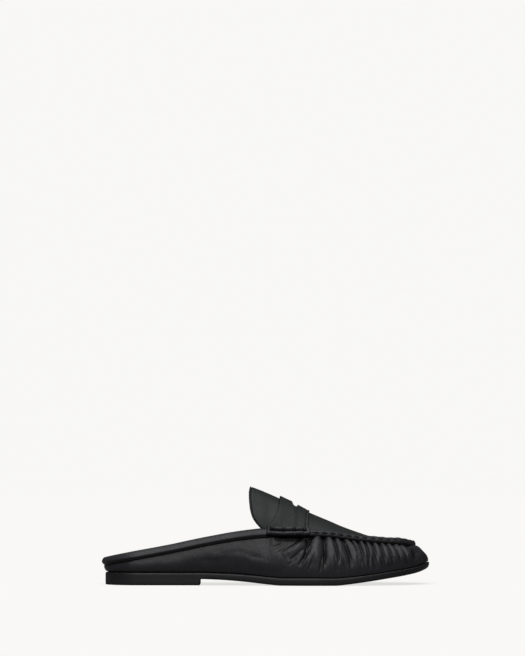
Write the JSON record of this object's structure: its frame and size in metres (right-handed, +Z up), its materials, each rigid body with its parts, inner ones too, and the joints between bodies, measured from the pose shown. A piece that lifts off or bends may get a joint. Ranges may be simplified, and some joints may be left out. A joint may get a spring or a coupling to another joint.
{
  "type": "loafer mule",
  "caption": "Backless leather loafer with a gathered apron toe, a slotted saddle strap, a standing tongue and a low heel.",
  "frame": {"origin": "on the floor under the middle of the heel, at mount heel_rest", "axes": "+X along the shoe to the toe, +Y to the inner side of the foot, +Z up from the floor"},
  "size_m": [0.2503, 0.0866, 0.0752],
  "materials": {
    "creased_leather": "polished black leather, gathered in fine creases",
    "smooth_leather": "smooth black leather, satin",
    "lining_leather": "black lining leather, matt",
    "sole_leather": "black leather sole with a waxed edge, satin",
    "heel_rubber": "black, satin"
  },
  "bodies": {
    "root": {"outsole": "sole_leather", "heel": "heel_rubber", "insole": "lining_leather", "upper": "creased_leather", "tongue": "smooth_leather", "collar": "creased_leather", "apron_seam": "creased_leather", "saddle_strap": "smooth_leather", "strap_roll_outer": "smooth_leather", "strap_roll_inner": "smooth_leather"}
  },
  "joints": []
}
